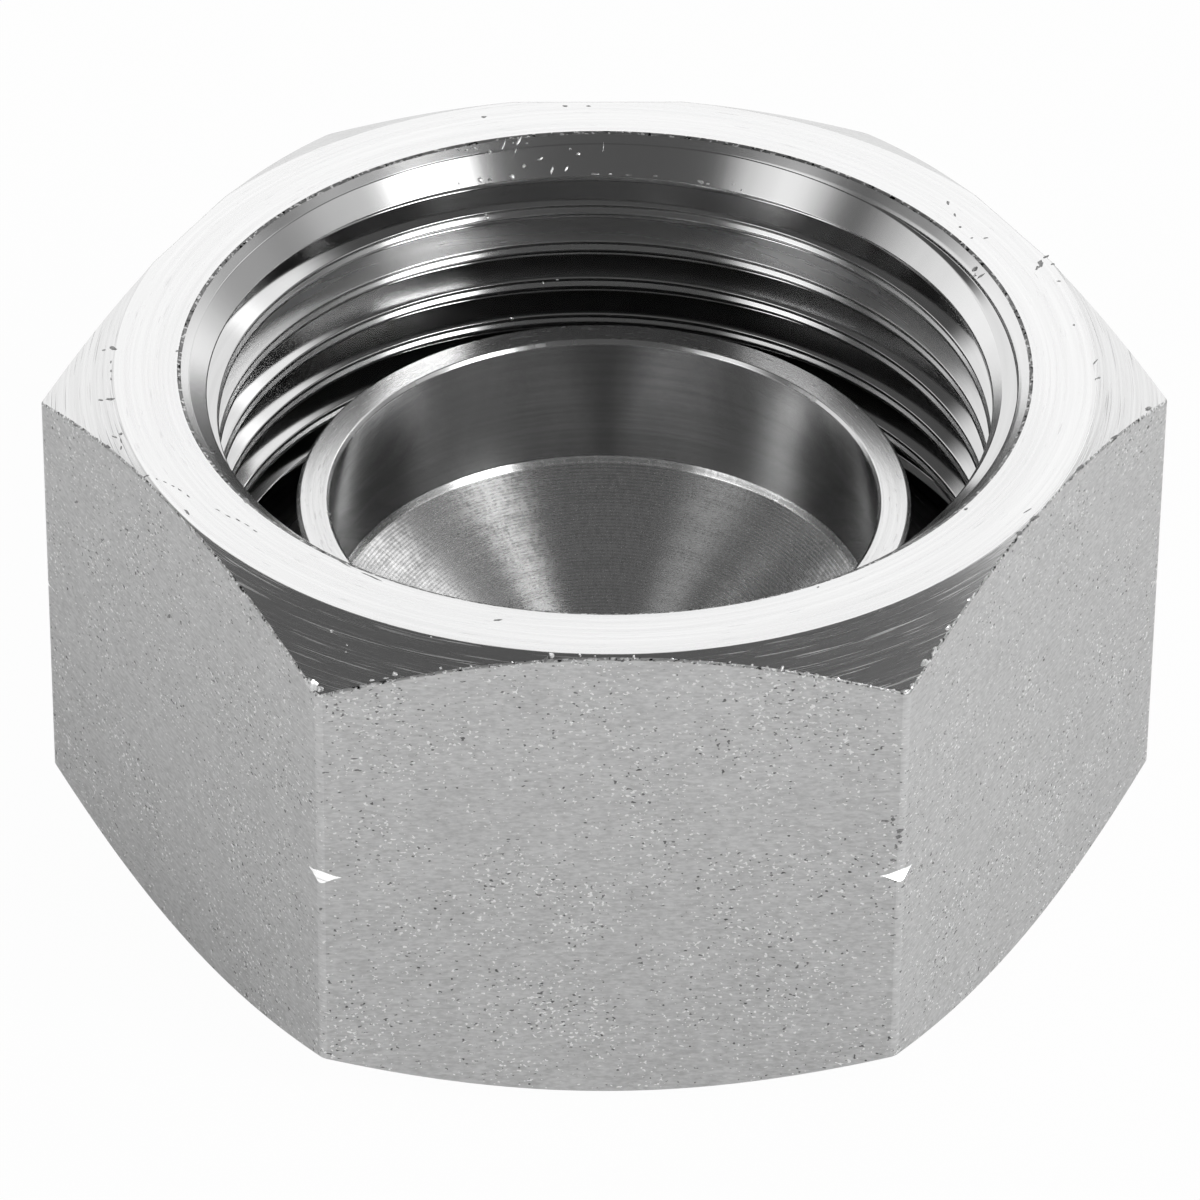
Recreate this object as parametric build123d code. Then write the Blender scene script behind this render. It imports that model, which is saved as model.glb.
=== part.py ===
from build123d import *
import math
import os

# A one-piece protection cap turned from hexagon bar, standing on its closed end with its
# mouth up. The Z axis is the turning axis and Z = 0 is the closed end face. The front flat
# faces -Y. The mouth holds a coarse internal thread round a central cup with a drilled floor.

# Hexagon bar
across_flats = 32.0
cap_height = 18.0
edge_round = 0.3
# The bar ran this far off the turning axis, towards -Y, so the faces and grooves that were
# turned are not quite in the middle of the hexagon.
bar_runout = 0.2

# Turned ends of the bar
face_diameter = 32.12
foot_diameter = 30.4
corner_chamfer_angle = 30.0

# Shallow mark groove, which only reaches the corners that stand out furthest
mark_height = 9.35
mark_diameter = 36.72
mark_angle = 90.0

# Mouth: an edge break, then a countersink that leads into the thread
lip_diameter = 27.8
lip_break = 0.26
countersink_diameter = 27.2
countersink_angle = 90.0

# Internal thread, metric form, right-hand
thread_diameter = 27.0
thread_pitch = 1.5
thread_angle = 60.0
# Depth of the first thread groove's middle below the mouth face, at the back (+Y)
first_groove_depth = 1.59

# Annular space round the cup, with a relief groove that the thread runs out into
annulus_depth = 10.2
relief_width = 0.9
relief_diameter = 27.4
relief_corner = 0.25

# Central cup
cup_outer_diameter = 20.3
cup_bore_diameter = 18.1
cup_rim_depth = 5.3
cup_bore_depth = 4.85
cup_edge_break = 0.12
cup_floor_angle = 118.0
cup_floor_break = 0.15
# Small flat that the drill's point leaves in the middle of the floor
cup_point_diameter = 0.8

# The cutters run this far past the metal, so that no two faces lie on each other
overrun = 1.0

# Metric thread form: the flats at crest and root, and the depth between them
crest_flat = thread_pitch / 4
root_flat = thread_pitch / 8
half_flank = math.radians(thread_angle / 2)
thread_depth = (thread_pitch - crest_flat - root_flat) / 2 / math.tan(half_flank)
minor_diameter = thread_diameter - 2 * thread_depth


def turned_blank():
    """The outside that the lathe leaves: both end faces, their chamfers and the mark groove."""
    slope = math.tan(math.radians(corner_chamfer_angle))
    reach = across_flats / math.sqrt(3) + bar_runout + overrun
    face_radius = face_diameter / 2
    foot_radius = foot_diameter / 2
    mark_radius = mark_diameter / 2
    mark_half = (reach - mark_radius) * math.tan(math.radians(mark_angle / 2))
    with BuildPart() as blank:
        with BuildSketch(Plane.XZ):
            with BuildLine():
                Polyline(
                    (0, 0),
                    (foot_radius, 0),
                    (reach, (reach - foot_radius) * slope),
                    (reach, cap_height - (reach - face_radius) * slope),
                    (face_radius, cap_height),
                    (0, cap_height),
                    close=True,
                )
            make_face()
        revolve(axis=Axis.Z)
        with BuildSketch(Plane.XZ):
            with BuildLine():
                Polyline(
                    (mark_radius, mark_height),
                    (reach, mark_height + mark_half),
                    (reach, mark_height - mark_half),
                    close=True,
                )
            make_face()
        revolve(axis=Axis.Z, mode=Mode.SUBTRACT)
    return blank.part


def hexagon_bar():
    """The bar as drawn, with its long edges slightly rounded, off the turning axis."""
    with BuildPart() as bar:
        with BuildSketch(Plane.XY.offset(-overrun)):
            with Locations((0, -bar_runout)):
                RegularPolygon(across_flats / 2, 6, major_radius=False)
        extrude(amount=cap_height + 2 * overrun)
        fillet(bar.edges().filter_by(Axis.Z), edge_round)
    return bar.part


def thread_hole():
    """The plain hole that the thread is cut in, at the diameter of the thread's crests."""
    with BuildPart() as hole:
        with Locations((0, 0, cap_height - annulus_depth)):
            Cylinder(
                minor_diameter / 2,
                annulus_depth + overrun,
                align=(Align.CENTER, Align.CENTER, Align.MIN),
            )
    return hole.part


def mouth_bore():
    """The turned hollow round that hole: lip, countersink and the relief groove."""
    lip_radius = lip_diameter / 2
    sink_radius = countersink_diameter / 2
    minor_radius = minor_diameter / 2
    relief_radius = relief_diameter / 2
    sink_depth = (sink_radius - minor_radius) / math.tan(math.radians(countersink_angle / 2))
    floor = cap_height - annulus_depth
    relief_top = floor + relief_width
    with BuildPart() as bore:
        with BuildSketch(Plane.XZ):
            with BuildLine():
                Polyline(
                    (0, floor),
                    (relief_radius - relief_corner, floor),
                    (relief_radius, floor + relief_corner),
                    (relief_radius, relief_top - (relief_radius - minor_radius) / 2),
                    (minor_radius, relief_top),
                    (minor_radius, cap_height - lip_break - sink_depth),
                    (sink_radius, cap_height - lip_break),
                    (lip_radius, cap_height),
                    (lip_radius, cap_height + overrun),
                    (0, cap_height + overrun),
                    close=True,
                )
            make_face()
        revolve(axis=Axis.Z)
    return bore.part


def thread_groove():
    """The helical groove between the crests, from inside the relief to past the mouth."""
    floor = cap_height - annulus_depth
    first_at_start = cap_height - first_groove_depth - thread_pitch / 4
    lowest = floor + relief_width / 2
    turns_down = math.floor((first_at_start - lowest) / thread_pitch)
    start = first_at_start - turns_down * thread_pitch
    turns_up = math.ceil((cap_height + overrun - start) / thread_pitch)
    inside = minor_diameter / 2 - overrun / 4
    width = root_flat + 2 * (thread_diameter / 2 - inside) * math.tan(half_flank)
    path = Helix(thread_pitch, turns_up * thread_pitch, inside, center=(0, 0, start))
    section_plane = Plane(path @ 0, x_dir=(1, 0, 0), z_dir=path % 0)
    with BuildPart() as groove:
        with BuildSketch(section_plane):
            with BuildLine():
                Polyline(
                    (0, -width / 2),
                    (thread_diameter / 2 - inside, -root_flat / 2),
                    (thread_diameter / 2 - inside, root_flat / 2),
                    (0, width / 2),
                    close=True,
                )
            make_face()
        sweep(path=path, is_frenet=True)
    return groove.part


def central_cup():
    """The boss left standing in the bore, with its rim, smooth bore and drilled floor."""
    floor = cap_height - annulus_depth
    outer = cup_outer_diameter / 2
    inner = cup_bore_diameter / 2
    rim = cap_height - cup_rim_depth
    bore_end = rim - cup_bore_depth
    point = cup_point_diameter / 2
    floor_slope = 1 / math.tan(math.radians(cup_floor_angle / 2))
    with BuildPart() as boss:
        with BuildSketch(Plane.XZ):
            with BuildLine():
                Polyline(
                    (0, floor - overrun),
                    (outer, floor - overrun),
                    (outer, rim - cup_edge_break),
                    (outer - cup_edge_break, rim),
                    (0, rim),
                    close=True,
                )
            make_face()
        revolve(axis=Axis.Z)
    with BuildPart() as hollow:
        with BuildSketch(Plane.XZ):
            with BuildLine():
                Polyline(
                    (0, bore_end - (inner - point) * floor_slope),
                    (point, bore_end - (inner - point) * floor_slope),
                    (inner - cup_floor_break, bore_end - cup_floor_break * floor_slope),
                    (inner, bore_end + cup_floor_break),
                    (inner, rim - cup_edge_break),
                    (inner + cup_edge_break, rim),
                    (inner + cup_edge_break, rim + overrun),
                    (0, rim + overrun),
                    close=True,
                )
            make_face()
        revolve(axis=Axis.Z)
    return boss.part, hollow.part


def cap_body():
    """The groove is cut before the countersink and the relief, which then trim its ends."""
    boss, hollow = central_cup()
    cap = turned_blank() & hexagon_bar()
    cap = cap - thread_hole() - thread_groove()
    cap = cap - mouth_bore()
    return cap + boss - hollow


os.makedirs("parts", exist_ok=True)
export_step(cap_body(), "parts/cap_body.step")
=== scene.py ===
import math
import random

import bpy
import numpy as np
from mathutils import Matrix, Vector
from mathutils.bvhtree import BVHTree


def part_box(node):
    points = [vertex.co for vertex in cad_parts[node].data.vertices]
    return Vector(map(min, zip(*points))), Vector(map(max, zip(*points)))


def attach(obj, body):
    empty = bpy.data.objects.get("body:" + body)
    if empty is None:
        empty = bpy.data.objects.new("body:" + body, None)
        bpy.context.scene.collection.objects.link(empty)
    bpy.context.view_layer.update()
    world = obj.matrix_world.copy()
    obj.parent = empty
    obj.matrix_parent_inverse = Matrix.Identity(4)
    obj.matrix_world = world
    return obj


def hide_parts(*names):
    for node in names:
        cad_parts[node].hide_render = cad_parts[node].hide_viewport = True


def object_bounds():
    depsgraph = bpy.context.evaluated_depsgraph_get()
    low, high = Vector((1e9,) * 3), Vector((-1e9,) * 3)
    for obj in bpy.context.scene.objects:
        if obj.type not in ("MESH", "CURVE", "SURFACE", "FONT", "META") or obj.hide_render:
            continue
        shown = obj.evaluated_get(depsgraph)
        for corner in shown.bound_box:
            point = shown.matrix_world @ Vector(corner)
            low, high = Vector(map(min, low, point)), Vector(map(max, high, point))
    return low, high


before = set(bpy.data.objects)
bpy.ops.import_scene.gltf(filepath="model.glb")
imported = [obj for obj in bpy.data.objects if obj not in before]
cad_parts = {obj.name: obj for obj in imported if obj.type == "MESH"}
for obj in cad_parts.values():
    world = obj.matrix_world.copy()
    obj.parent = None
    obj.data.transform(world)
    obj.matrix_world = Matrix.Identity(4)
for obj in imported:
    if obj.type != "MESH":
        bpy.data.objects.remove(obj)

# The threaded protection cap as the photograph shows it. Its surface is worked out here in
# millimetres and degrees, in the frame's own axes, and turned into metres when a mesh is made.

MM = 0.001
MICRON = 0.000001
whole_turn = 2 * math.pi

# The CAD model's own box, before anything is replaced
cad_low, cad_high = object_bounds()
cap_low, cap_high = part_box("cap_body")

# Hexagon bar
across_flats = (cap_high[1] - cap_low[1]) / MM
cap_height = cap_high[2] / MM
bar_runout = -(cap_high[1] + cap_low[1]) / 2 / MM
edge_round = 0.3
flat_count = 6
flat_angle = 60
front_angle = -90
columns_per_flat = 81
columns_per_edge = 6
# The net stays inside the bar by this much, which leaves room for the chips that lie on it
skin = 0.004

# Turned ends and the mark groove, whose sides lean by 45 degrees
face_radius = 16.06
foot_radius = 15.2
corner_angle = 30
corner_slope = math.tan(math.radians(corner_angle))
mark_height = 9.35
mark_radius = 18.36

# Mouth and thread. The countersink's wall also leans by 45 degrees
lip_radius = 13.9
lip_depth = 0.26
sink_radius = 13.6
thread_radius = 13.5
thread_pitch = 1.5
# A flank's angle to the axis, and how much its radius changes for each unit of depth
flank_angle = 60
thread_form = math.tan(math.radians(flank_angle))
crest_flat = thread_pitch / 4
root_flat = thread_pitch / 8
minor_radius = thread_radius - (thread_pitch - crest_flat - root_flat) / 2 * thread_form
sink_depth = lip_depth + sink_radius - minor_radius
first_groove_depth = 1.59
turns = range(-1, 6)
first_whole_turn = 1

# Relief, annular space and cup. The relief's upper wall widens by its slope for each unit of depth
relief_depth = 9.3
relief_slope = 2.0
relief_radius = 13.7
relief_corner = 0.25
annulus_depth = 10.2
cup_outer_radius = 10.15
cup_inner_radius = 9.05
cup_rim_depth = 5.3
cup_end_depth = 10.15
cup_break = 0.12
floor_break = 0.15
point_angle = 118
floor_slope = 1 / math.tan(math.radians(point_angle / 2))
point_radius = 0.4

# How far the worn and plated edges are rounded, and the most that this takes of the way to the
# next row
outer_soft = 0.06
inner_soft = 0.03
lip_soft = 0.07
crest_soft = 0.045
root_soft = 0.05
most_soft_share = 0.4

# The thread's crests are slightly hollow, with a raised lip at their lower edge. The last two are
# the places of the hollow's bottom and of the lip, as shares of the way down the crest.
crest_hollow = 0.05
crest_lip = 0.05
crest_lowest = 0.4
crest_nose = 0.75

# Lengths that count as nothing, and the decimals of a metre in which corners of the net that are
# one agree
touching = 0.001
no_length = 1e-9
same_decimals = 8


# Columns: the surface is a net of columns round the axis and rows along the turned profile

def closed(values, step):
    """The values with the first one again at the end, a step further on."""
    return np.append(values, values[0] + step)


def hexagon_columns():
    """Angle about the turning axis, radius and facing direction of each point on the bar's outline."""
    apothem = across_flats / 2
    arc_apothem = apothem - edge_round
    half_side = arc_apothem * math.tan(math.radians(flat_angle / 2))
    half_angle = math.atan(half_side / apothem)
    points = []
    for side in range(flat_count):
        facing = math.radians(flat_angle * side + front_angle)
        normal = np.array([math.cos(facing), math.sin(facing)])
        along = np.array([-math.sin(facing), math.cos(facing)])
        for step in np.linspace(-half_angle, half_angle, columns_per_flat):
            points.append((apothem * normal + apothem * math.tan(step) * along, facing))
        for step in range(1, columns_per_edge):
            turn = facing + math.radians(flat_angle) * step / columns_per_edge
            corner = arc_apothem * normal + half_side * along
            points.append((corner + edge_round * np.array([math.cos(turn), math.sin(turn)]), turn))
    xy = np.array([point for point, turn in points]) - np.array([0.0, bar_runout])
    angle = np.unwrap(np.arctan2(xy[:, 1], xy[:, 0]))
    radius = np.hypot(xy[:, 0], xy[:, 1])
    facing = np.array([turn for point, turn in points])
    return closed(angle, whole_turn), closed(radius - skin, 0.0), closed(facing, whole_turn)


column_angle, bar_radius, column_facing = hexagon_columns()
column_count = len(column_angle)
# Between the columns of a rounded long edge the outline turns by more than this, in radians
least_turn = 0.01
column_turned = np.abs(np.diff(column_facing)) > least_turn


def constant(value):
    return np.full(column_count, float(value))


def turned_normal(run, rise):
    """Outward normal of a turned surface whose profile runs by run outwards and rise upwards."""
    length = math.hypot(run, rise)
    radial, up = rise / length, -run / length
    return np.stack([radial * np.cos(column_angle), radial * np.sin(column_angle), constant(up)], -1)


def wall_normal():
    return np.stack([np.cos(column_facing), np.sin(column_facing), constant(0)], -1)


def flank_normal(slope):
    """Normal of a thread flank whose radius grows by slope for each unit of depth."""
    around = slope * thread_pitch / whole_turn / thread_radius
    x = -np.cos(column_angle) - around * np.sin(column_angle)
    y = -np.sin(column_angle) + around * np.cos(column_angle)
    normal = np.stack([x, y, constant(-slope)], -1)
    return normal / np.linalg.norm(normal, axis=1, keepdims=True)


# Rows of the net, which follow the turned profile

class Profile:
    """Rows in order, from the middle of the foot, up the wall and down into the mouth."""

    def __init__(self):
        self.radius = []
        self.height = []
        self.soft = []
        self.surface = []
        self.normal = []
        self.strip = []

    def row(self, radius, height, soft, surface=None, normal=None, strip=None):
        """Adds a row, with the surface that joins it to the row before and that surface's normal.

        The strip on a soft row's rounded corner has that surface too, or one of its own.
        """
        self.radius.append(radius * np.ones(column_count))
        self.height.append(height * np.ones(column_count))
        self.soft.append(soft)
        self.surface.append(surface)
        self.normal.append(normal)
        self.strip.append(strip or surface)


def outside_rows(profile):
    """Foot, its chamfer, the flats with the mark groove, and the upper chamfer."""
    wall_foot = np.maximum(bar_radius - foot_radius, 0) * corner_slope
    top = cap_height - skin
    wall_top = top - np.maximum(bar_radius - face_radius, 0) * corner_slope
    notch = np.maximum(bar_radius - mark_radius, 0)
    profile.row(0.0, 0.0, 0)
    profile.row(foot_radius, 0.0, inner_soft, "foot", turned_normal(1, 0))
    profile.row(bar_radius, wall_foot, outer_soft, "foot_chamfer", turned_normal(1, corner_slope))
    profile.row(bar_radius, mark_height - notch, 0, "flats", wall_normal())
    profile.row(bar_radius - notch, mark_height, 0, "mark", turned_normal(-1, 1))
    profile.row(bar_radius, mark_height + notch, 0, "mark", turned_normal(1, 1))
    profile.row(bar_radius, wall_top, outer_soft, "flats", wall_normal(), strip="burr")
    profile.row(np.minimum(bar_radius, face_radius), top, inner_soft,
                "chamfer", turned_normal(-1, corner_slope))


def mouth_rows(profile):
    """The mouth's face and its lip."""
    profile.row(lip_radius, cap_height - skin, lip_soft, "face", turned_normal(-1, 0), strip="lip_edge")
    profile.row(sink_radius, cap_height - lip_depth, inner_soft,
                "lip", turned_normal(sink_radius - lip_radius, -lip_depth))


def plain_wall(depth):
    """Radius of the mouth's wall without its thread."""
    sink = sink_radius + lip_depth - depth
    relief = minor_radius + (depth - relief_depth) * relief_slope
    return np.maximum(np.maximum(sink, relief), minor_radius)


def groove_span(turn):
    """Depths at which one turn of the groove opens, reaches its root, leaves it and closes."""
    middle = first_groove_depth + (turn - (column_angle - math.pi / 2) / whole_turn) * thread_pitch
    root_start = middle - root_flat / 2
    root_end = middle + root_flat / 2
    opening = middle - (thread_pitch - crest_flat) / 2
    closing = middle + (thread_pitch - crest_flat) / 2
    slack = thread_radius - minor_radius

    # Where the countersink is wider than the crest, the groove opens and closes against it
    sink_total = sink_radius + lip_depth
    in_sink = opening < sink_depth
    cut = (sink_total - thread_radius + thread_form * root_start) / (1 + thread_form)
    cut = np.where(cut > root_start, sink_total - thread_radius, cut)
    opening = np.where(in_sink, np.maximum(opening, cut), opening)
    in_sink = closing < sink_depth
    cut = (thread_radius + thread_form * root_end - sink_total) / (thread_form - 1)
    closing = np.where(in_sink, cut, closing)
    hidden = root_end < sink_total - thread_radius
    rest = np.maximum(root_end, lip_depth)

    # Where the relief is wider than the crest, the groove runs out into it
    in_relief = closing > relief_depth
    cut = (slack + thread_form * root_end + relief_slope * relief_depth) / (thread_form + relief_slope)
    floor_cut = relief_depth + slack / relief_slope
    cut = np.where(cut < root_end, floor_cut, cut)
    rise_cut = slack + relief_slope * relief_depth - thread_form * root_start
    rise_cut = rise_cut / (relief_slope - thread_form)
    cut = np.where(cut < root_start, rise_cut, cut)
    closing = np.where(in_relief, np.minimum(closing, cut), closing)
    gone = opening > relief_depth
    last = relief_depth + (relief_radius - minor_radius) / relief_slope

    opening = np.where(hidden, rest, np.where(gone, np.minimum(opening, last), opening))
    closing = np.where(hidden, rest, np.where(gone, opening, closing))
    closing = np.maximum(closing, opening)
    return opening, np.clip(root_start, opening, closing), np.clip(root_end, opening, closing), closing


def groove_radius(depth, root_start, root_end):
    """Radius of the groove at a depth, or the plain wall's where that is wider."""
    drop = np.maximum(root_start - depth, depth - root_end) * thread_form
    return np.maximum(thread_radius - np.maximum(drop, 0), plain_wall(depth))


def thread_rows(profile):
    """Each turn of the groove, with the crest, countersink or relief that lies above it."""
    relief_end = relief_depth + (relief_radius - minor_radius) / relief_slope
    sink = turned_normal(-1, -1)
    crest = turned_normal(0, -1)
    relief = turned_normal(relief_slope, -1)
    before = constant(lip_depth)
    for turn in turns:
        opening, root_start, root_end, closing = groove_span(turn)
        lower_flank = "first_flank" if turn == first_whole_turn else "flank"
        knee = np.clip(sink_depth, before, opening)
        heel = np.clip(relief_depth, knee, opening)
        plain = (before > knee - touching) & (heel > opening - touching)
        whole = np.clip((opening - before) / crest_flat, 0, 1) * plain
        low = knee + (heel - knee) * crest_lowest
        nose = knee + (heel - knee) * crest_nose
        lip = whole * crest_lip
        hollow = whole * crest_hollow
        profile.row(plain_wall(knee), cap_height - knee, crest_soft, "countersink", sink)
        profile.row(plain_wall(low) + hollow, cap_height - low, inner_soft, "thread")
        profile.row(plain_wall(nose) - lip, cap_height - nose, inner_soft, "thread")
        profile.row(plain_wall(heel) - lip, cap_height - heel, inner_soft, "thread", crest)
        profile.row(plain_wall(opening) - lip, cap_height - opening, crest_soft, "relief", relief)
        for depth, surface, normal, soft in (
            (root_start, "flank", flank_normal(thread_form), root_soft),
            (root_end, "flank", crest, root_soft),
            (closing, lower_flank, flank_normal(-thread_form), crest_soft),
        ):
            radius = groove_radius(depth, root_start, root_end)
            radius = np.where(closing > opening, radius, plain_wall(depth))
            profile.row(radius, cap_height - depth, soft, surface, normal)
        before = closing
    knee = np.clip(sink_depth, before, relief_end)
    heel = np.clip(relief_depth, knee, relief_end)
    profile.row(plain_wall(knee), cap_height - knee, inner_soft, "countersink", sink)
    profile.row(plain_wall(heel), cap_height - heel, inner_soft, "thread", crest)
    profile.row(relief_radius, cap_height - relief_end, inner_soft, "relief", relief)


def cup_rows(profile):
    """The relief's lower end, the annular space's floor, and the cup with its rim and floor."""
    floor = cap_height - annulus_depth
    rim = cap_height - cup_rim_depth
    end = cap_height - cup_end_depth
    profile.row(relief_radius, floor + relief_corner, inner_soft, "relief", turned_normal(0, -1))
    profile.row(relief_radius - relief_corner, floor, inner_soft, "relief", turned_normal(-1, -1))
    profile.row(cup_outer_radius, floor, inner_soft, "relief", turned_normal(-1, 0))
    profile.row(cup_outer_radius, rim - cup_break, inner_soft, "boss", turned_normal(0, 1))
    profile.row(cup_outer_radius - cup_break, rim, inner_soft, "rim", turned_normal(-1, 1))
    profile.row(cup_inner_radius + cup_break, rim, inner_soft, "rim", turned_normal(-1, 0))
    profile.row(cup_inner_radius, rim - cup_break, inner_soft, "rim", turned_normal(-1, -1))
    profile.row(cup_inner_radius, end + floor_break, inner_soft, "cup_wall", turned_normal(0, -1))
    fall = floor_break * (1 + floor_slope)
    profile.row(cup_inner_radius - floor_break, end - floor_break * floor_slope, inner_soft,
                "cup_floor", turned_normal(-floor_break, -fall))
    bottom = end - (cup_inner_radius - point_radius) * floor_slope
    profile.row(point_radius, bottom, inner_soft, "cup_floor", turned_normal(-1, -floor_slope))
    profile.row(0.0, bottom, 0, "cup_floor", turned_normal(-1, 0))


def across(start, end):
    """Normal of the surface from one row to the next, where it isn't stated."""
    run, up = np.moveaxis(end - start, -1, 0)
    length = np.maximum(np.hypot(run, up), no_length)
    radial = up / length
    return np.stack([radial * np.cos(column_angle), radial * np.sin(column_angle), -run / length], -1)


def softened(profile):
    """Rows and bands of the net, with each soft corner cut back to two rows."""
    rows = []
    bands = []
    places = np.stack([profile.radius, profile.height], -1)
    last = len(places) - 1
    for index in range(1, len(places)):
        if profile.normal[index] is None:
            profile.normal[index] = across(places[index - 1], places[index])
    for index, place in enumerate(places):
        if index > 0:
            normal = profile.normal[index]
            bands.append((profile.surface[index], normal, normal))
        if profile.soft[index] == 0 or index in (0, last):
            rows.append(place)
            continue
        ends = []
        for other in (places[index - 1], places[index + 1]):
            away = other - place
            length = np.maximum(np.linalg.norm(away, axis=1, keepdims=True), no_length)
            ends.append(place + away * np.minimum(profile.soft[index] / length, most_soft_share))
        rows.extend(ends)
        bands.append((profile.strip[index], profile.normal[index], profile.normal[index + 1]))
    return rows, bands


def net_mesh(name, rows, bands, materials):
    """The net as one mesh, with exact normals. Corners that fall together are merged."""
    slots = list(materials)
    vertices, faces, normals, slot_of_face = [], [], [], []
    known = {}

    def vertex(row, column):
        radius, height = rows[row][column]
        angle = column_angle[column]
        place = (radius * math.cos(angle) * MM, radius * math.sin(angle) * MM, height * MM)
        key = tuple(round(value, same_decimals) for value in place)
        if key not in known:
            known[key] = len(vertices)
            vertices.append(place)
        return known[key]

    grid = [[vertex(row, column) for column in range(column_count)] for row in range(len(rows))]
    for row, (surface, start, end) in enumerate(bands):
        slot = slots.index(surface)
        edge_slot = slots.index("edge") if surface == "flats" else slot
        for column in range(column_count - 1):
            corners = {}
            for at, side, normal in ((row, column, start), (row, column + 1, start),
                                     (row + 1, column + 1, end), (row + 1, column, end)):
                corners.setdefault(grid[at][side], normal[side])
            if len(corners) > 2:
                faces.append(tuple(corners))
                normals.extend(corners.values())
                slot_of_face.append(edge_slot if column_turned[column] else slot)
    mesh = bpy.data.meshes.new(name)
    mesh.from_pydata(vertices, [], faces)
    for surface in slots:
        mesh.materials.append(materials[surface])
    mesh.polygons.foreach_set("material_index", slot_of_face)
    mesh.polygons.foreach_set("use_smooth", [True] * len(faces))
    mesh.normals_split_custom_set([tuple(normal) for normal in normals])
    mesh.update()
    piece = bpy.data.objects.new(name, mesh)
    bpy.context.scene.collection.objects.link(piece)
    return piece


# Node trees

class Nodes:
    """A node tree, with short helpers that add nodes and join them."""

    def __init__(self, owner):
        owner.use_nodes = True
        self.nodes = owner.node_tree.nodes
        self.links = owner.node_tree.links

    def node(self, kind, **settings):
        made = self.nodes.new(kind)
        for key, value in settings.items():
            setattr(made, key, value)
        return made

    def feed(self, socket, value):
        """Links the socket to the value where that is a socket too, and otherwise sets it."""
        if isinstance(value, bpy.types.NodeSocket):
            self.links.new(value, socket)
        else:
            socket.default_value = value

    def math(self, operation, *values):
        made = self.node("ShaderNodeMath", operation=operation)
        for socket, value in zip(made.inputs, values):
            self.feed(socket, value)
        return made.outputs[0]

    def ramp(self, value, low, high, start=0.0, end=1.0, **settings):
        """Goes from start to end as the value goes from low to high."""
        made = self.node("ShaderNodeMapRange", **settings)
        for key, entry in (("Value", value), ("From Min", low), ("From Max", high),
                           ("To Min", start), ("To Max", end)):
            self.feed(made.inputs[key], entry)
        return made.outputs[0]

    def coordinates(self, kind):
        """The coordinates of this kind, as a vector and as its three parts."""
        vector = self.node("ShaderNodeTexCoord").outputs[kind]
        split = self.node("ShaderNodeSeparateXYZ")
        self.links.new(vector, split.inputs[0])
        return vector, *split.outputs


# Materials

# Most of a noise's values lie between the first two. The other two are nearer to its middle.
noise_low = 0.3
noise_high = 0.7
middle_low = 0.35
middle_high = 0.65


class Shader(Nodes):
    """A metal, with textures that are placed in the cap's own space."""

    def __init__(self, name, grey, roughness, anisotropy=0.0):
        self.material = bpy.data.materials.new(name)
        super().__init__(self.material)
        self.surface = self.nodes["Principled BSDF"]
        self.surface.inputs["Metallic"].default_value = 1.0
        self.surface.inputs["Base Color"].default_value = (grey, grey, grey, 1)
        self.surface.inputs["Roughness"].default_value = roughness
        self.surface.inputs["Anisotropic"].default_value = anisotropy
        self.place, self.x, self.y, self.height = self.coordinates("Object")

    def noise(self, place, scale=1.0, detail=2.0):
        made = self.node("ShaderNodeTexNoise")
        self.feed(made.inputs["Vector"], place)
        made.inputs["Scale"].default_value = scale
        made.inputs["Detail"].default_value = detail
        return made.outputs["Fac"]

    def swing(self, noise, start, end):
        """Goes from start to end over most of a noise's values."""
        return self.ramp(noise, noise_low, noise_high, start, end)

    def measure_turning(self):
        """Radius, direction from the turning axis, and the run along the turned profile."""
        squares = [self.math("MULTIPLY", part, part) for part in (self.x, self.y)]
        self.radius = self.math("SQRT", self.math("ADD", *squares))
        self.side = self.math("DIVIDE", self.x, self.radius)
        self.ahead = self.math("DIVIDE", self.y, self.radius)
        self.run = self.math("SUBTRACT", self.radius, self.height)

    def lathe_place(self, around, across):
        """A place whose noise makes streaks round the turning axis.

        Around says how many there are in each radian, and across how many in a metre of profile.
        """
        join = self.node("ShaderNodeCombineXYZ")
        self.feed(join.inputs[0], self.math("MULTIPLY", self.side, around))
        self.feed(join.inputs[1], self.math("MULTIPLY", self.ahead, around))
        self.feed(join.inputs[2], self.math("MULTIPLY", self.run, across))
        return join.outputs[0]

    def moved_place(self, shift, draw=1.0):
        """The place moved by shift millimetres, so that textures don't fall together.

        With draw, what lies there is drawn out sideways by so much.
        """
        made = self.node("ShaderNodeVectorMath", operation="MULTIPLY_ADD")
        self.links.new(self.place, made.inputs[0])
        made.inputs[1].default_value = (1 / draw, 1 / draw, 1)
        made.inputs[2].default_value = (shift * MM, shift * MM, shift * MM)
        return made.outputs[0]

    def grey(self, value):
        join = self.node("ShaderNodeCombineColor")
        for socket in join.inputs:
            self.feed(socket, value)
        self.links.new(join.outputs[0], self.surface.inputs["Base Color"])

    def rough(self, value):
        self.links.new(value, self.surface.inputs["Roughness"])

    def bump(self, height, distance):
        made = self.node("ShaderNodeBump")
        made.inputs["Strength"].default_value = 1.0
        made.inputs["Distance"].default_value = distance
        self.links.new(height, made.inputs["Height"])
        self.links.new(made.outputs["Normal"], self.surface.inputs["Normal"])

    def turned_tangent(self):
        """Gloss drawn out across the tool's marks, which run round the turning axis."""
        made = self.node("ShaderNodeVectorMath", operation="CROSS_PRODUCT")
        made.inputs[0].default_value = (0, 0, 1)
        self.links.new(self.place, made.inputs[1])
        self.links.new(made.outputs[0], self.surface.inputs["Tangent"])
        self.surface.inputs["Anisotropic Rotation"].default_value = quarter_turn


# The anisotropy's rotation counts whole turns
quarter_turn = 0.25

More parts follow.
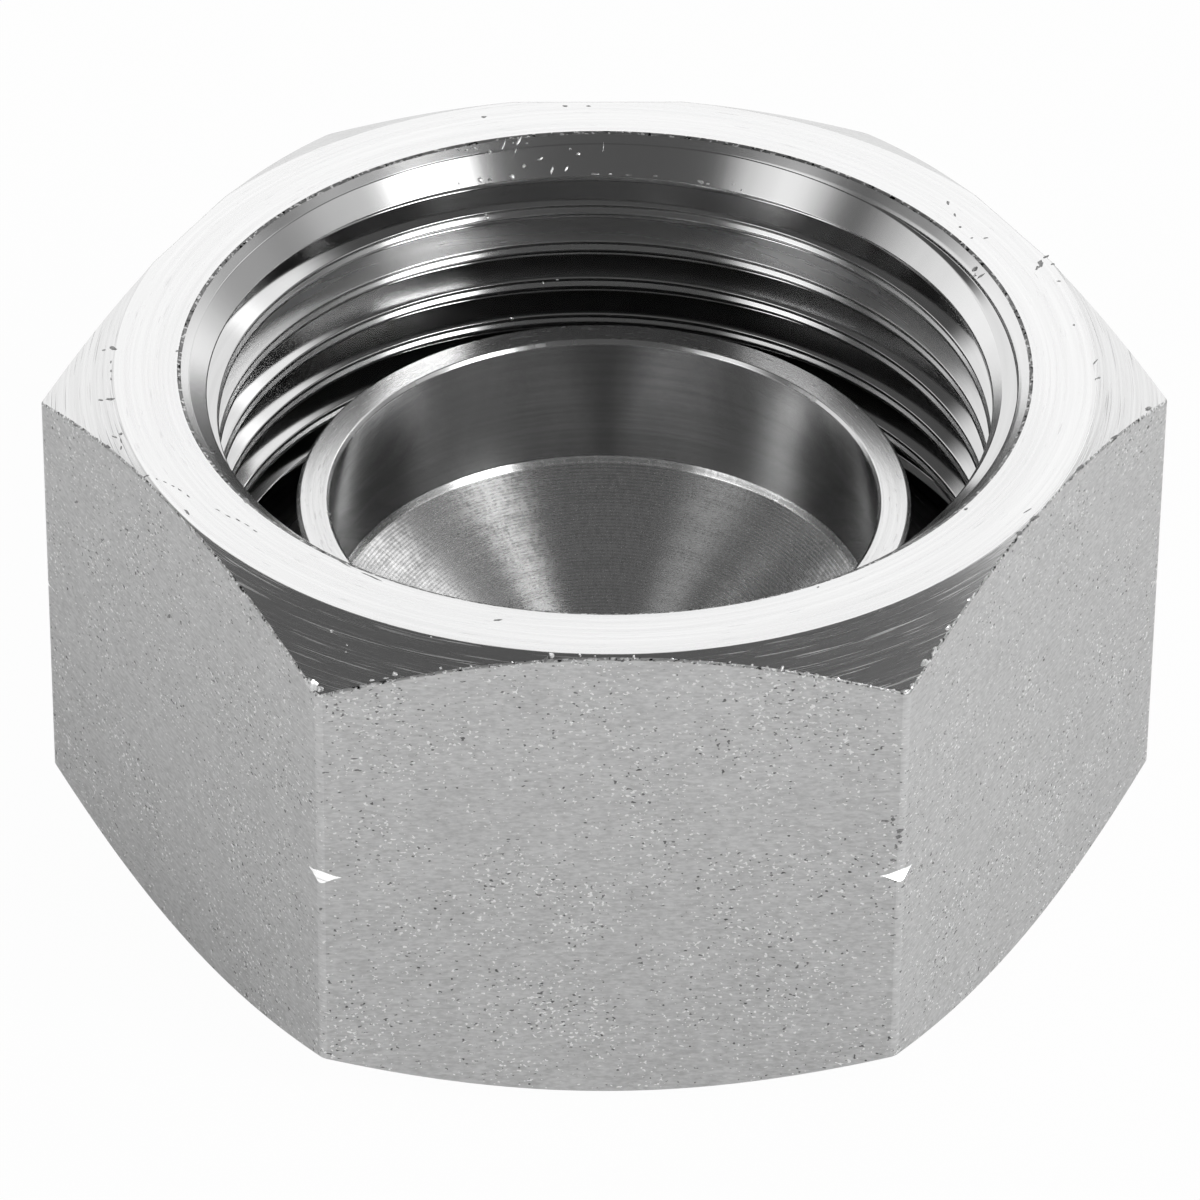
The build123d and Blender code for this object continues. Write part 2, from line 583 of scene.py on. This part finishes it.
# Blasted surface. Scales are per metre, draws stretch a texture sideways, and shifts are in
# millimetres. Tones and glosses are the most that a texture adds to the grey and the roughness,
# and edges are how far a noise goes from where a mark begins to where it is full.
grain_scale = 11000
grain_draw = 3.0
grain_tone = 0.07
grain_gloss = 0.05
mottle_scale = 900
mottle_tone = 0.02
# Painted shade: the outside is darker towards the foot and lighter towards the top by this much
painted_shade_tone = 0.04
patch_scale = 420
patch_shift = 5.3
patch_share = 0.03
# Painted glints: bright specks in the grey, also raised a little in the relief
glint_scale = 10000
glint_draw = 1.4
glint_shift = 1.7
glint_edge = 0.02
glint_height = 0.25
pit_scale = 9000
pit_draw = 1.6
pit_shift = 3.1
pit_edge = 0.05
# Painted glints are this much brighter than the grey, and pits this much darker
glint_and_pit_tone = 0.45
blasted_depth = 20 * MICRON

# Turned surface: the streaks, the finer ones, the scratches and the tool's rings, with scales
# round the axis and across the streaks as a lathe place takes them
streak_across = 9000.0
gloss_spread = 0.12
fine_around = 25.0
fine_finer = 1.7
fine_share = 0.6
scratch_across = 14000.0
scratch_shade = 0.1
scratch_edge = 0.1
ridge_pitch = 110 * MICRON
ridge_wander = 3.0
ridge_wander_scale = 400
ridge_break_around = 60.0

# Torn metal of the nicks and chips, whose tone and gloss vary by a share
torn_scale = 14000
torn_tone = 0.2
torn_gloss = 0.3
torn_depth = 10 * MICRON


def blasted_metal(name, grey, roughness, glint_start=0.675, pit_start=0.31):
    """The bar's outside: matte plated steel with a combed grain, bright specks of painted glint,
    dark pits, and painted shade that makes it darker towards the foot and lighter towards the top.

    Painted glints lie where their noise is above its start, and pits where theirs is below its own.
    """
    metal = Shader(name, grey, roughness)
    grain = metal.noise(metal.moved_place(0.0, grain_draw), grain_scale)
    mottle = metal.noise(metal.place, mottle_scale)
    patch = metal.noise(metal.moved_place(patch_shift), patch_scale, detail=1)
    patch = metal.ramp(patch, middle_low, middle_high, -patch_share, patch_share)
    glint_speck = metal.noise(metal.moved_place(glint_shift, glint_draw), glint_scale, detail=1)
    glint_speck = metal.ramp(metal.math("ADD", glint_speck, patch), glint_start, glint_start + glint_edge)
    pit = metal.noise(metal.moved_place(pit_shift, pit_draw), pit_scale, detail=1)
    pit = metal.ramp(metal.math("SUBTRACT", pit, patch), pit_start, pit_start - pit_edge)
    # Painted shade: darker towards the foot, lighter towards the top
    tone = metal.ramp(metal.height, 0.0, cap_height * MM, grey - painted_shade_tone, grey + painted_shade_tone)
    tone = metal.math("ADD", tone, metal.swing(grain, -grain_tone, grain_tone))
    tone = metal.math("ADD", tone, metal.swing(mottle, -mottle_tone, mottle_tone))
    # Painted glints: the specks are made brighter by this much, and the pits darker
    tone = metal.math("MULTIPLY_ADD", glint_speck, glint_and_pit_tone, tone)
    tone = metal.math("MULTIPLY_ADD", pit, -glint_and_pit_tone, tone)
    metal.grey(metal.math("MINIMUM", tone, 1.0))
    metal.rough(metal.swing(grain, roughness + grain_gloss, roughness - grain_gloss))
    relief = metal.math("SUBTRACT", metal.math("MULTIPLY_ADD", glint_speck, glint_height, grain), pit)
    metal.bump(relief, blasted_depth)
    return metal.material


def turned_metal(name, grey, roughness, depth, anisotropy=0.0, spread=0.03, around=1.5,
                 scratch=0.0, scratch_around=14.0, scratch_start=0.62, ridges=0.0):
    """A turned surface: long streaks round the axis in its tone, gloss and relief, and finer ones.

    The relief is depth microns deep. With scratch, short rough scratches lie on it. With ridges,
    the tool has left even rings, which differ this much in tone.
    """
    metal = Shader(name, grey, roughness, anisotropy)
    metal.measure_turning()
    streak = metal.noise(metal.lathe_place(around, streak_across), detail=3)
    fine = metal.noise(metal.lathe_place(fine_around, streak_across * fine_finer), detail=1)
    tone = metal.swing(streak, grey - spread, grey + spread)
    gloss = metal.swing(streak, roughness * (1 + gloss_spread), roughness * (1 - gloss_spread))
    if scratch:
        short = metal.noise(metal.lathe_place(scratch_around, scratch_across), detail=1)
        mask = metal.ramp(short, scratch_start, scratch_start + scratch_edge)
        gloss = metal.math("MULTIPLY_ADD", mask, scratch, gloss)
        tone = metal.math("MULTIPLY_ADD", mask, -scratch_shade * scratch, tone)
    if ridges:
        wander = metal.noise(metal.place, ridge_wander_scale, detail=1)
        wander = metal.math("MULTIPLY", wander, ridge_wander)
        turn = metal.math("MULTIPLY_ADD", metal.radius, whole_turn / ridge_pitch, wander)
        broken = metal.noise(metal.lathe_place(ridge_break_around, streak_across))
        broken = metal.ramp(broken, middle_low, middle_high, -1.0, 1.0)
        ridge = metal.math("ADD", metal.math("SINE", turn), broken)
        tone = metal.math("MULTIPLY_ADD", ridge, ridges, tone)
        gloss = metal.math("MULTIPLY_ADD", ridge, -ridges / 2, gloss)
    metal.grey(tone)
    metal.rough(gloss)
    relief = metal.math("MULTIPLY_ADD", fine, fine_share, streak)
    metal.bump(metal.math("MULTIPLY", relief, depth * MICRON), 1.0)
    if anisotropy:
        metal.turned_tangent()
    return metal.material


def torn_metal(name, grey, roughness):
    """Torn metal in a nick or a chip: uneven in tone and gloss."""
    metal = Shader(name, grey, roughness)
    grain = metal.noise(metal.place, torn_scale)
    metal.grey(metal.swing(grain, grey * (1 - torn_tone), min(grey * (1 + torn_tone), 1.0)))
    metal.rough(metal.swing(grain, roughness * (1 + torn_gloss), roughness * (1 - torn_gloss)))
    metal.bump(grain, torn_depth)
    return metal.material


# Each surface of the cap: its grey, its roughness and, where it is turned, its relief's depth in
# microns
materials = {
    "foot": turned_metal("turned_foot", 0.66, 0.35, 6),
    "foot_chamfer": turned_metal("turned_foot_chamfer", 0.64, 0.35, 6),
    "flats": blasted_metal("blasted_flats", 0.67, 0.55),
    # The rounded long edges are a little lighter and glossier than the flats
    "edge": blasted_metal("lighter_edges", 0.72, 0.5),
    "burr": blasted_metal("burred_edges", 0.48, 0.45, glint_start=0.56, pit_start=0.42),
    "mark": turned_metal("mark_groove", 0.88, 0.2, 1, scratch=0.5, scratch_around=3.0),
    "chamfer": turned_metal("turned_chamfer", 0.69, 0.25, 7, scratch=0.35, scratch_around=5.0),
    "face": turned_metal("turned_face", 0.84, 0.26, 0.6, spread=0.006, scratch=0.1, scratch_start=0.68),
    "lip_edge": blasted_metal("burred_lip", 0.20, 0.5, glint_start=0.60, pit_start=0.37),
    "lip": turned_metal("turned_lip", 0.70, 0.22, 2, anisotropy=0.5),
    "countersink": turned_metal("turned_countersink", 0.72, 0.2, 1.5, anisotropy=0.5, around=4.0),
    "thread": turned_metal("cut_thread", 0.62, 0.2, 0.6, anisotropy=0.8),
    "flank": turned_metal("cut_flank", 0.60, 0.10, 0.4, anisotropy=0.6),
    # Painted light: a lighter copy of the flank for the first whole turn, which is also rougher
    "first_flank": turned_metal("first_flank_painted_light", 0.70, 0.27, 1, anisotropy=0.9),
    # Painted shade: a dark grey for the shade in the relief, the annular space and under the crests
    "relief": turned_metal("relief_painted_shade", 0.22, 0.3, 2),
    "boss": turned_metal("turned_boss", 0.66, 0.2, 1),
    "rim": turned_metal("turned_rim", 0.72, 0.22, 2, anisotropy=0.7, scratch=0.1),
    # Painted shade: the bore's wall is darker than the cup's floor for the dim light in the cup
    "cup_wall": turned_metal("cup_wall_painted_shade", 0.38, 0.17, 0.1, anisotropy=1.0, around=0.6),
    "cup_floor": turned_metal("turned_cup_floor", 0.90, 0.27, 0.2, anisotropy=0.9, ridges=0.075),
}


# The cap's visible surface

profile = Profile()
outside_rows(profile)
mouth_rows(profile)
thread_rows(profile)
cup_rows(profile)
net_rows, net_bands = softened(profile)
cap_surface = net_mesh("cap_surface", net_rows, net_bands, materials)
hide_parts("cap_body")
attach(cap_surface, "root")


# Camera, fitted to the photograph's 1200 pixel square frame, with its two clip distances in metres

frame_pixels = 1200
focal_pixels = 8443.96
sensor_width = 36.0
clip_near = 0.01
clip_far = 10
camera_distance = 281.01
camera_azimuth = math.radians(-1.2015)
camera_elevation = math.radians(35.9739)
camera_roll = math.radians(0.5619)
aim_height = 9.0
aim_right = -0.0983
aim_up = -0.4587


def camera_axes():
    """Right, up and back of the camera, and its place in millimetres."""
    flat = math.cos(camera_elevation)
    back = Vector((math.sin(camera_azimuth) * flat, -math.cos(camera_azimuth) * flat,
                   math.sin(camera_elevation)))
    level = Vector((math.cos(camera_azimuth), math.sin(camera_azimuth), 0))
    upright = back.cross(level)
    right = level * math.cos(camera_roll) + upright * math.sin(camera_roll)
    up = upright * math.cos(camera_roll) - level * math.sin(camera_roll)
    aim = Vector((0, 0, aim_height)) + right * aim_right + up * aim_up
    return right, up, back, aim + back * camera_distance


def add_camera():
    right, up, back, place = camera_axes()
    data = bpy.data.cameras.new("photo_camera")
    data.sensor_width = sensor_width
    data.lens = sensor_width * focal_pixels / frame_pixels
    data.clip_start = clip_near
    data.clip_end = clip_far
    camera = bpy.data.objects.new("photo_camera", data)
    turn = Matrix((right, up, back)).transposed().to_4x4()
    camera.matrix_world = Matrix.Translation(place * MM) @ turn
    bpy.context.scene.collection.objects.link(camera)
    bpy.context.scene.camera = camera


# Wear: nicks and chips at the places where the photograph shows them

# A mound has an outer ring that is sunk, an inner one that is raised, and a tip. Each ring has its
# shares of the mound's size and of its height. A corner wanders by up to a share of the step to
# the next one, and its reach and height vary between the last two shares.
mound_corners = 9
mound_rings = ((1.0, -0.3), (0.55, 0.7))
corner_wander = 0.3
least_share = 0.6
most_share = 1.4
random.seed(27)


class Mounds:
    """Low irregular mounds, each set on the cap where a point of the photograph falls."""

    def __init__(self, piece):
        mesh = piece.data
        places = [vertex.co / MM for vertex in mesh.vertices]
        self.tree = BVHTree.FromPolygons(places, [tuple(face.vertices) for face in mesh.polygons])
        self.right, self.up, self.back, self.eye = camera_axes()
        self.vertices = []
        self.faces = []

    def ray(self, x, y):
        """Direction from the camera's place through a point of the photograph."""
        middle = frame_pixels / 2
        way = self.right * (x - middle) + self.up * (middle - y) - self.back * focal_pixels
        return way.normalized()

    def point(self, place):
        """Adds a vertex, kept inside the CAD model's box."""
        kept = [min(max(value * MM, low), high) for value, low, high in zip(place, cad_low, cad_high)]
        self.vertices.append(kept)
        return len(self.vertices) - 1

    def add(self, x, y, length, width, turn, rise):
        """A mound of this length and width in pixels, turned in the picture, in degrees.

        Its height is its rise times half its width.
        """
        hit, normal, face, distance = self.tree.ray_cast(self.eye, self.ray(x, y))
        if hit is None:
            return
        lean = math.radians(turn)
        pixel = (hit - self.eye).length / focal_pixels
        rings = []
        for share, lift in mound_rings:
            ring = []
            for corner in range(mound_corners):
                wander = random.uniform(-corner_wander, corner_wander)
                around = whole_turn * (corner + wander) / mound_corners
                reach = share * random.uniform(least_share, most_share)
                along = reach * length / 2 * math.cos(around)
                aside = reach * width / 2 * math.sin(around)
                way = self.ray(x + along * math.cos(lean) - aside * math.sin(lean),
                               y - along * math.sin(lean) - aside * math.cos(lean))
                place = self.eye + way * (hit - self.eye).dot(normal) / way.dot(normal)
                lifted = lift * rise * width / 2 * pixel * random.uniform(least_share, most_share)
                ring.append(self.point(place + normal * lifted))
            rings.append(ring)
        tip = self.point(hit + normal * rise * width / 2 * pixel)
        outer, inner = rings
        for corner in range(mound_corners):
            after = (corner + 1) % mound_corners
            self.faces.append((outer[corner], outer[after], inner[after], inner[corner]))
            self.faces.append((inner[corner], inner[after], tip))

    def finish(self, name, material):
        mesh = bpy.data.meshes.new(name)
        mesh.from_pydata(self.vertices, [], self.faces)
        mesh.materials.append(material)
        piece = bpy.data.objects.new(name, mesh)
        bpy.context.scene.collection.objects.link(piece)
        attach(piece, "root")


# Each mark: across and down in the photograph, length and width in its pixels, and turn in degrees
nicks = (
    # Mouth's face and its left border
    (113, 348, 7, 4, 0), (104, 350, 5, 2, 10), (111, 362, 3, 2, 90), (111, 371, 3, 2, 90),
    (111, 379, 4, 2, 90), (110, 399, 12, 3, 0), (101, 400, 6, 2, 0), (121, 434, 4, 3, 20),
    (115, 437, 7, 2, -20), (121, 441, 6, 2, -70), (121, 448, 5, 2, 80), (107, 447, 7, 4, -10),
    (75, 425, 6, 2, -30), (146, 476, 8, 2, 30), (157, 479, 3, 1.5, -20), (165, 482, 4, 1.2, -25),
    (173, 486, 4, 1.2, -25), (180, 490, 5, 1.5, -35), (188, 496, 5, 1.5, -35), (160, 493, 2, 2, 0),
    (218, 510, 6, 1.2, -25), (228, 516, 8, 1.2, -25), (238, 520, 8, 1.2, -28), (247, 525, 8, 1.2, -30),
    (255, 531, 6, 1.2, -30), (187, 512, 9, 3, -45), (246, 500, 8, 5, -40),
    # Its back, right border and front
    (612, 99, 9, 1.5, 0), (484, 117, 9, 2.5, 5), (565, 106, 8, 2, 0), (588, 106, 6, 1.5, 0),
    (948, 203, 4, 6, 20), (955, 215, 3, 5, 20), (960, 227, 4, 3, 0), (972, 238, 4, 2, 0),
    (986, 238, 6, 1.5, 10), (1037, 268, 6, 3, 60), (1040, 262, 8, 4, 45), (1045, 257, 7, 3, 30),
    (1041, 265, 10, 5, 60), (1053, 264, 4, 2, 0), (1059, 281, 5, 1.5, 0), (1074, 325, 3, 2, 0),
    (1096, 361, 7, 1.5, 45), (1098, 378, 8, 1.5, 20), (1148, 409, 9, 5, 20), (1115, 437, 9, 2.5, 30),
    (1080, 468, 9, 4, 50), (1035, 517, 13, 5, 10), (1027, 511, 11, 1.5, 30), (1019, 533, 7, 5, 10),
    (966, 509, 5, 3, 30), (818, 587, 4, 2, 20), (497, 620, 10, 2, 5), (372, 577, 24, 1.5, -24),
    (345, 564, 14, 1.2, -28),
    # Mouth's lip and the countersink
    (178, 351, 8, 2, 10), (198, 438, 5, 2, -40), (205, 449, 11, 2, -25), (213, 453, 5, 1.5, -20),
    (975, 269, 8, 4, 35), (981, 276, 9, 2, 30), (603, 148, 9, 1.5, 85),
    # Burr on the front flat's right edge and pits of the flats
    (885, 821, 14, 3, -5), (893, 819, 6, 6, 0), (893, 825, 4, 4, 0), (899, 831, 8, 6, 0),
    (898, 837, 7, 5, 0), (896, 846, 4, 6, 0), (900, 842, 4, 4, 0), (893, 860, 9, 4, 0),
    (546, 660, 8, 4, 60), (169, 616, 5, 4, 60), (77, 502, 3, 3, 0), (138, 537, 5, 2, 80),
    (321, 909, 3, 3, 0),
)
chips = (
    # Front left corner and the edge below the chamfer
    (301, 673, 3, 4, 0), (306, 680, 4, 4, 0), (292, 662, 3, 3, 0), (286, 650, 3, 2, 0),
    (280, 643, 4, 3, 0), (332, 631, 5, 3, 0), (346, 652, 2, 2, 0), (347, 645, 2, 2, 0),
    (386, 678, 5, 2, 0), (372, 680, 7, 3, 0), (441, 668, 4, 4, 0), (471, 666, 3, 2, 0),
    (460, 668, 2, 2, 0), (512, 662, 2, 2, 0), (431, 637, 3, 2, 0), (580, 655, 3, 4, 0),
    (595, 656, 2, 2, 0), (634, 657, 3, 4, 0), (672, 659, 3, 2, 0), (700, 661, 2, 2, 0),
    (712, 662, 3, 2, 0), (730, 662, 3, 2, 0), (752, 665, 3, 3, 0), (767, 667, 4, 3, 0),
    (782, 668, 4, 6, 0), (795, 672, 3, 3, 0), (808, 674, 7, 4, -10), (817, 675, 5, 3, 0),
    (838, 679, 4, 3, 0), (850, 682, 3, 2, 0), (862, 684, 2, 2, 0), (870, 686, 5, 3, 0),
    (880, 688, 3, 2, 0), (893, 690, 7, 2, 0), (905, 691, 9, 4, 10), (912, 687, 5, 4, 50),
    (918, 678, 3, 3, 0), (941, 640, 3, 3, 0), (960, 615, 3, 2, 0), (970, 600, 4, 3, 0),
    (1003, 567, 2, 2, 0), (1149, 413, 4, 3, 0), (1095, 457, 3, 2, 0), (1068, 483, 3, 2, 0),
    (1020, 536, 4, 3, 0),
    # Countersink and lip
    (504, 144, 10, 2, 70), (519, 141, 12, 3, 60), (516, 150, 6, 1.5, 70), (475, 149, 7, 3, 0),
    (459, 150, 5, 2, 0), (466, 150, 4, 2, 0), (490, 152, 3, 4, 0), (513, 143, 2, 2, 0),
    (527, 143, 3, 2, 0), (540, 159, 7, 3, 15), (524, 166, 4, 4, 0), (552, 170, 8, 3, 75),
    (566, 169, 8, 3, 60), (512, 177, 7, 5, 0), (490, 179, 5, 5, 0), (480, 180, 7, 6, 0),
    (459, 183, 4, 4, 0), (570, 149, 3, 2, 0), (578, 154, 5, 3, 0), (595, 174, 10, 2, 0),
    (610, 174, 4, 1.5, 0), (628, 175, 7, 1.5, 0), (655, 176, 5, 1.5, 0), (701, 182, 7, 4, -20),
    (708, 184, 4, 2, 0), (733, 184, 3, 2, 0), (741, 190, 3, 2, 0), (735, 193, 3, 2, 0),
    (975, 275, 4, 3, 0),
    # Crests of the thread
    (543, 283, 3, 2, 0), (557, 280, 3, 2, 0), (512, 319, 4, 3, 0), (487, 218, 4, 2, 0),
)
burrs = (
    # Front left corner, the edge below the chamfer and the front right corner
    (312, 684, 18, 10, -25), (320, 689, 9, 6, -20), (552, 655, 9, 8, 30), (395, 674, 5, 7, 0),
    (925, 663, 10, 7, 42), (934, 650, 9, 6, 45), (948, 627, 7, 5, 45), (912, 685, 6, 4, 50),
)
nick_rise = 0.25
chip_rise = 0.6
burr_rise = 1.0

# Painted shade: the nicks are low mounds whose dark grey stands in for the shade of a dent
shaded_nick_mounds = Mounds(cap_surface)
for mark in nicks:
    shaded_nick_mounds.add(*mark, nick_rise)
shaded_nick_mounds.finish("nicks_with_painted_shade", torn_metal("nick_painted_shade", 0.30, 0.45))
chip_mounds = Mounds(cap_surface)
for mark in chips:
    chip_mounds.add(*mark, chip_rise)
for mark in burrs:
    chip_mounds.add(*mark, burr_rise)
chip_mounds.finish("edge_chips", torn_metal("chipped_steel", 0.92, 0.35))


# Floor: white paper just under the foot, so that the two surfaces don't fall together, in metres

floor_half_width = 1.5
floor_height = -10 * MICRON
paper_grey = 0.92
paper_roughness = 0.9

# How much of its white the paper shows whatever light falls on it: to the camera, and to what
# mirrors it near the cap and behind it. The last two are the places between which this grows.
camera_white = 0.97
mirrored_near = 0.25
mirrored_behind = 0.85
near_end = 0.03
behind_start = 0.06


def floor_material():
    """White paper, which takes a little of the cap's shadow."""
    material = bpy.data.materials.new("white_paper")
    tree = Nodes(material)
    paper = tree.nodes["Principled BSDF"]
    paper.inputs["Base Color"].default_value = (paper_grey, paper_grey, paper_grey, 1)
    paper.inputs["Roughness"].default_value = paper_roughness
    glow = tree.node("ShaderNodeEmission")
    glow.inputs["Strength"].default_value = 1.0
    path = tree.node("ShaderNodeLightPath")
    place, x, y, z = tree.coordinates("Object")
    seen = tree.math("MULTIPLY", path.outputs["Is Camera Ray"], camera_white)
    behind = tree.ramp(y, near_end, behind_start, mirrored_near, mirrored_behind)
    share = tree.math("MULTIPLY_ADD", path.outputs["Is Glossy Ray"], behind, seen)
    mix = tree.node("ShaderNodeMixShader")
    for socket, value in zip(mix.inputs, (share, paper.outputs[0], glow.outputs[0])):
        tree.links.new(value, socket)
    tree.links.new(mix.outputs[0], tree.nodes["Material Output"].inputs["Surface"])
    return material


def add_floor():
    mesh = bpy.data.meshes.new("floor")
    sides = ((-1, -1), (1, -1), (1, 1), (-1, 1))
    corners = [(x * floor_half_width, y * floor_half_width, floor_height) for x, y in sides]
    mesh.from_pydata(corners, [], [(0, 1, 2, 3)])
    mesh.materials.append(floor_material())
    floor = bpy.data.objects.new("floor", mesh)
    bpy.context.scene.collection.objects.link(floor)


# Light of the studio: a backdrop, a leaning panel beside it and soft boxes. Each edge goes from
# nothing to full, in degrees to the right of the front or above it.

base_light = 0.1

# The backdrop stands behind the cap, and is this high for each unit of its distance. Its top
# fades over this much of a direction's rise above that height, and not over degrees.
backdrop_light = 1.1
backdrop_height = 0.7
backdrop_top = (0.30, 0.12)
backdrop_sides = ((120, 142), (-112, -128))

# The panel stands at the backdrop's left end, and its front edge leans forwards by this many
# degrees for each degree up
panel_light = 1.0
panel_lean = 1.1
panel_front = (-118, -132)
panel_back = (-128, -112)
panel_foot = (-20, -10)
panel_top = (38, 30)

# Each box: light, then azimuths and elevations at nothing, full, full and nothing, and slant. With
# a slant its sides lean, by so many degrees to the left for each degree up, and its azimuths hold
# at the slant level.
slant_level = 44.0
soft_boxes = (
    (7.0, (39, 46, 61, 72), (8, 16, 46, 54), -0.15),
    (1.3, (-82, -63, -50, -38), (8, 16, 50, 58), 0.15),
    (0.55, (58, 66, 90, 108), (24, 31, 44, 54), 0),
    (1.5, (-66, -58, -46, -36), (6, 12, 24, 30), 0),
    (0.3, (95, 108, 120, 142), (-20, -10, 30, 40), 0),
    (0.2, (95, 108, 120, 142), (-20, -10, 8, 20), 0),
    (0.3, (-108, -100, -92, -84), (22, 28, 40, 46), 0),
    (1.0, (60, 68, 92, 104), (-4, 0, 10, 16), 0),
    (1.2, (110, 126, 148, 160), (30, 36, 44, 56), 0),
)


class Sky(Nodes):
    """Brightness of the studio by direction, in degrees to the right of the front and above it."""

    def __init__(self, light):
        world = bpy.data.worlds.new("studio")
        bpy.context.scene.world = world
        super().__init__(world)
        self.background = self.nodes["Background"]
        self.background.inputs["Color"].default_value = (1, 1, 1, 1)
        direction, right, self.behind, self.up = self.coordinates("Generated")
        turn = self.math("ARCTAN2", right, self.math("MULTIPLY", self.behind, -1.0))
        self.azimuth = self.math("MULTIPLY", turn, math.degrees(1))
        self.elevation = self.math("MULTIPLY", self.math("ARCSINE", self.up), math.degrees(1))
        self.total = light

    def edge(self, value, start, end):
        """Rises smoothly from 0 to 1 between start and end, or falls where end is the lower."""
        if start < end:
            return self.ramp(value, start, end, interpolation_type="SMOOTHSTEP")
        return self.ramp(value, end, start, 1.0, 0.0, interpolation_type="SMOOTHSTEP")

    def add(self, light, *shares):
        """Adds light where all the shares are above nothing."""
        product = shares[0]
        for share in shares[1:]:
            product = self.math("MULTIPLY", product, share)
        self.total = self.math("MULTIPLY_ADD", product, light, self.total)

    def box(self, light, azimuth, elevation, slant):
        """A soft box, whose azimuths and elevations are its four places across and up."""
        a0, a1, a2, a3 = azimuth
        e0, e1, e2, e3 = elevation
        above = self.math("SUBTRACT", self.elevation, slant_level)
        across = self.math("MULTIPLY_ADD", above, slant, self.azimuth)
        self.add(light, self.edge(across, a0, a1), self.edge(across, a3, a2),
                 self.edge(self.elevation, e0, e1), self.edge(self.elevation, e3, e2))

    def finish(self):
        """White to the camera, as the photograph's background is."""
        camera = self.node("ShaderNodeLightPath").outputs["Is Camera Ray"]
        hidden = self.math("SUBTRACT", 1.0, camera)
        shown = self.math("MULTIPLY_ADD", self.total, hidden, camera)
        self.links.new(shown, self.background.inputs["Strength"])


def light_studio():
    sky = Sky(base_light)
    rise = sky.math("MULTIPLY_ADD", sky.behind, -backdrop_height, sky.up)
    backdrop = sky.edge(rise, *backdrop_top)
    for side in backdrop_sides:
        sky.add(backdrop_light, backdrop, sky.edge(sky.azimuth, *side))
    leaning = sky.math("MULTIPLY_ADD", sky.elevation, -panel_lean, sky.azimuth)
    sky.add(panel_light, sky.edge(leaning, *panel_front), sky.edge(sky.azimuth, *panel_back),
            sky.edge(sky.elevation, *panel_foot), sky.edge(sky.elevation, *panel_top))
    for box in soft_boxes:
        sky.box(*box)
    sky.finish()


add_floor()
light_studio()
add_camera()
bpy.context.scene.view_settings.view_transform = "Standard"
